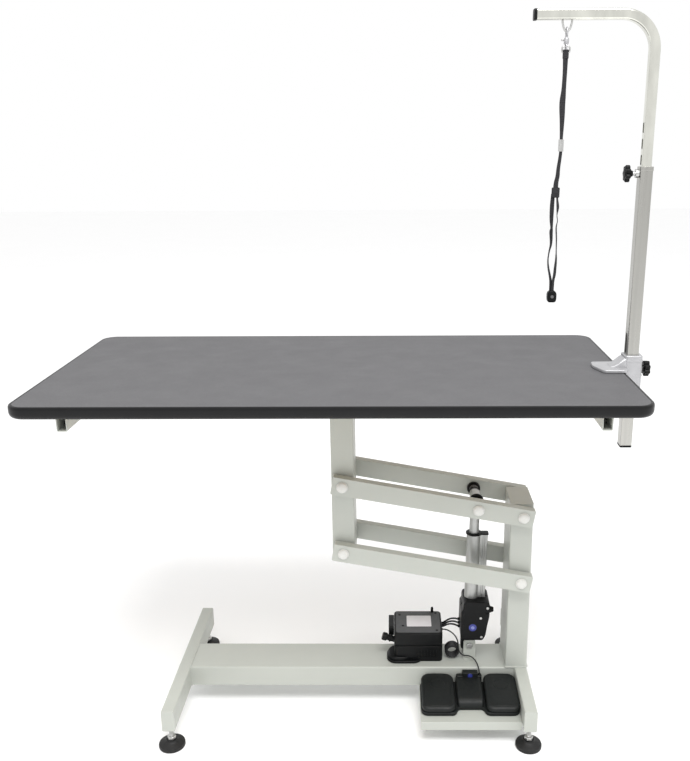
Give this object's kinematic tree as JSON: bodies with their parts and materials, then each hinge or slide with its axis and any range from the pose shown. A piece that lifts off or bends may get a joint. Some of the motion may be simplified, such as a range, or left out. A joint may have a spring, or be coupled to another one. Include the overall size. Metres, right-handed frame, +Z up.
{
  "type": "grooming table",
  "caption": "Electric lifting pet grooming table: oblong top on a parallel-arm lift with a linear actuator, foot switch, and a clamped grooming arm with a tether.",
  "frame": {"origin": "on the floor under the middle of the bounding box, with the table at its rest height", "axes": "+Z up, +X along the table top towards the grooming arm, +Y away from the foot switch"},
  "size_m": [1.257, 0.6, 1.513],
  "materials": {
    "white_powder_coat": "satin powder coat",
    "white_cap": "white caps over a steel shaft",
    "bright_steel": "plain bright steel",
    "cast_metal": "cast, satin",
    "black_plastic": "fine texture",
    "grey_plastic": "fine texture",
    "rubber_foot": "matt",
    "rubber_edging": "matt moulded edge",
    "grey_mat": "fine non-slip texture",
    "wood_board": "plain board",
    "webbing": "woven webbing"
  },
  "bodies": {
    "base": {"base_beam": "white_powder_coat", "left_foot_tube": "white_powder_coat", "right_foot_tube": "white_powder_coat", "base_column": "white_powder_coat", "upper_base_pivot_shaft": "white_cap", "lower_base_pivot_shaft": "white_cap", "clevis_bracket": "white_powder_coat", "clevis_pin": "bright_steel", "control_box_base": "black_plastic", "control_box_lid": "grey_plastic", "power_inlet": "black_plastic", "foot_switch_tray": "white_powder_coat", "foot_switch_body": "black_plastic", "foot_switch_cable": "black_plastic", "foot_switch_cable_coil": "black_plastic", "foot_switch_cable_tail": "black_plastic", "motor_cable_1": "black_plastic", "motor_cable_2": "black_plastic", "motor_cable_3": "black_plastic"},
    "upper_arms": {"upper_arm_front": "white_powder_coat", "upper_arm_rear": "white_powder_coat", "upper_table_pivot_shaft": "white_cap", "actuator_cross_shaft": "bright_steel", "cross_shaft_bush_front": "black_plastic", "cross_shaft_bush_rear": "black_plastic"},
    "lower_arms": {"lower_arm_front": "white_powder_coat", "lower_arm_rear": "white_powder_coat", "lower_table_pivot_shaft": "white_cap"},
    "table": {"table_column": "white_powder_coat", "frame_cross_tube_left": "white_powder_coat", "frame_cross_tube_right": "white_powder_coat", "frame_rail_front": "white_powder_coat", "frame_rail_rear": "white_powder_coat", "table_board": "wood_board", "table_mat": "grey_mat", "table_edging": "rubber_edging", "clamp_body": "cast_metal"},
    "actuator_rod": {"actuator_rod": "bright_steel"},
    "actuator": {"actuator_tube": "cast_metal", "lead_screw": "bright_steel", "gearbox_front_shell": "black_plastic", "gearbox_rear_shell": "black_plastic", "lift_motor": "bright_steel"},
    "down_pedal": {"down_pedal": "black_plastic"},
    "up_pedal": {"up_pedal": "black_plastic"},
    "clamp_pad": {"clamp_pad": "rubber_foot"},
    "clamp_screw": {"clamp_screw": "bright_steel"},
    "clamp_knob": {"clamp_star_knob": "black_plastic"},
    "pole": {"lower_pole": "bright_steel"},
    "arm_knob": {"arm_star_knob": "black_plastic"},
    "arm": {"grooming_arm": "bright_steel"},
    "snap_hook": {"snap_hook": "bright_steel"},
    "snap_trigger": {"snap_trigger": "bright_steel"},
    "strap": {"tether_strap": "webbing"},
    "strap_slider": {"tether_slider": "bright_steel"},
    "strap_lock": {"tether_lock": "black_plastic"},
    "levelling_foot_left_front": {"levelling_foot_left_front": "rubber_foot"},
    "levelling_foot_left_rear": {"levelling_foot_left_rear": "rubber_foot"},
    "levelling_foot_right_front": {"levelling_foot_right_front": "rubber_foot"},
    "levelling_foot_right_rear": {"levelling_foot_right_rear": "rubber_foot"}
  },
  "joints": [
    {"name": "lift", "type": "hinge", "parent": "base", "child": "upper_arms", "pos_m": [0.3715, 0, 0.488], "axis": [0, 1, 0], "range_deg": [-28, 24]},
    {"name": "lower_arms_follow", "type": "hinge", "parent": "base", "child": "lower_arms", "pos_m": [0.3715, 0, 0.33], "axis": [0, 1, 0], "range_deg": [-28, 24]},
    {"name": "table_stays_level", "type": "hinge", "parent": "upper_arms", "child": "table", "pos_m": [-0.02193, 0, 0.56021], "axis": [0, 1, 0], "range_deg": [-24, 28]},
    {"name": "actuator_pivot", "type": "hinge", "parent": "upper_arms", "child": "actuator_rod", "pos_m": [0.27314, 0, 0.50605], "axis": [0, 1, 0], "range_deg": [-24, 28]},
    {"name": "actuator_stroke", "type": "slide", "parent": "actuator_rod", "child": "actuator", "axis": [-0.0179, 0, -0.9998], "range_m": [-0.0465, 0.04]},
    {"name": "down_pedal_press", "type": "hinge", "parent": "base", "child": "down_pedal", "pos_m": [0.1885, -0.068, 0.07], "axis": [1, 0, 0], "range_deg": [0, 3], "stiffness_Nm_per_rad": 3, "springref_deg": -5.73},
    {"name": "up_pedal_press", "type": "hinge", "parent": "base", "child": "up_pedal", "pos_m": [0.3311, -0.068, 0.07], "axis": [1, 0, 0], "range_deg": [0, 3], "stiffness_Nm_per_rad": 3, "springref_deg": -5.73},
    {"name": "clamp_screw_feed", "type": "slide", "parent": "table", "child": "clamp_pad", "axis": [0, 0, 1], "range_m": [-0.0302, 0]},
    {"name": "clamp_screw_turn", "type": "hinge", "parent": "clamp_pad", "child": "clamp_screw", "pos_m": [0.5365, -0.027, 0.74], "axis": [0, 0, 1], "range_deg": [-6171, 0]},
    {"name": "clamp_knob_turn", "type": "hinge", "parent": "table", "child": "clamp_knob", "pos_m": [0.6215, -0.027, 0.811], "axis": [1, 0, 0], "range_deg": [0, 720]},
    {"name": "pole_height", "type": "slide", "parent": "table", "child": "pole", "axis": [0, 0, 1], "range_m": [-0.06, 0.06]},
    {"name": "arm_knob_turn", "type": "hinge", "parent": "pole", "child": "arm_knob", "pos_m": [0.5545, -0.027, 1.21], "axis": [-1, 0, 0], "range_deg": [0, 720]},
    {"name": "arm_height", "type": "slide", "parent": "pole", "child": "arm", "axis": [0, 0, 1], "range_m": [-0.06, 0.15]},
    {"name": "hook_swing", "type": "hinge", "parent": "arm", "child": "snap_hook", "pos_m": [0.4205, -0.027, 1.473], "axis": [1, 0, 0], "range_deg": [-45, 45]},
    {"name": "trigger_pull", "type": "slide", "parent": "snap_hook", "child": "snap_trigger", "axis": [0, 0, -1], "range_m": [0, 0.003], "stiffness_N_per_m": 60, "springref_m": -0.003},
    {"name": "strap_swing", "type": "hinge", "parent": "snap_hook", "child": "strap", "pos_m": [0.4205, -0.027, 1.446], "axis": [0, 1, 0], "range_deg": [-15, 15]},
    {"name": "slider_shift", "type": "slide", "parent": "strap", "child": "strap_slider", "axis": [0, 0, 1], "range_m": [-0.06, 0.14]},
    {"name": "lock_shift", "type": "slide", "parent": "strap", "child": "strap_lock", "axis": [0, 0, 1], "range_m": [0, 0.18]},
    {"name": "levelling_foot_left_front_height", "type": "slide", "parent": "base", "child": "levelling_foot_left_front", "axis": [0, 0, -1], "range_m": [-0.01, 0.02]},
    {"name": "levelling_foot_left_rear_height", "type": "slide", "parent": "base", "child": "levelling_foot_left_rear", "axis": [0, 0, -1], "range_m": [-0.01, 0.02]},
    {"name": "levelling_foot_right_front_height", "type": "slide", "parent": "base", "child": "levelling_foot_right_front", "axis": [0, 0, -1], "range_m": [-0.01, 0.02]},
    {"name": "levelling_foot_right_rear_height", "type": "slide", "parent": "base", "child": "levelling_foot_right_rear", "axis": [0, 0, -1], "range_m": [-0.01, 0.02]}
  ],
  "couplings": [
    {"joint": "lower_arms_follow", "follows": "lift", "ratio": 1},
    {"joint": "table_stays_level", "follows": "lift", "ratio": -1},
    {"joint": "actuator_pivot", "follows": "lift", "ratio": -0.966},
    {"joint": "actuator_stroke", "follows": "lift", "m_per_rad": 0.0945},
    {"joint": "clamp_screw_feed", "follows": "clamp_screw_turn", "m_per_rad": 0.00027852}
  ]
}
